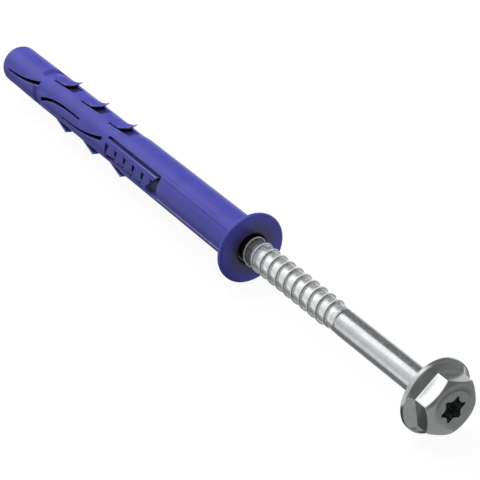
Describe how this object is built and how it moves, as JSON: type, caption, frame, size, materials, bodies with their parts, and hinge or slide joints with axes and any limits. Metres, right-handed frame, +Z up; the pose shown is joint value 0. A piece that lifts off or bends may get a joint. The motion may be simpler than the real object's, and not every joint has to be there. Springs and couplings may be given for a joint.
{
  "type": "hex head frame fixing",
  "caption": "Frame fixing: a blue-violet nylon sleeve with expansion slots, barbs, toothed windows and a collar, with a zinc-plated hex flange screw started in its bore.",
  "frame": {"origin": "on the floor under the middle of the length, midway between the sleeve's nose and the top of the head", "axes": "+X along the screw's axis towards the head, +Y across it, +Z up from the floor that the collar's rim and the flange's rim rest on"},
  "size_m": [0.1656, 0.0158, 0.0158],
  "materials": {
    "blue_nylon": "moulded, softly glossy",
    "zinc_plated_steel": "bright zinc plate on a cold-headed screw"
  },
  "bodies": {
    "root": {"nylon_sleeve": "blue_nylon", "hex_flange_screw": "zinc_plated_steel"}
  },
  "joints": []
}
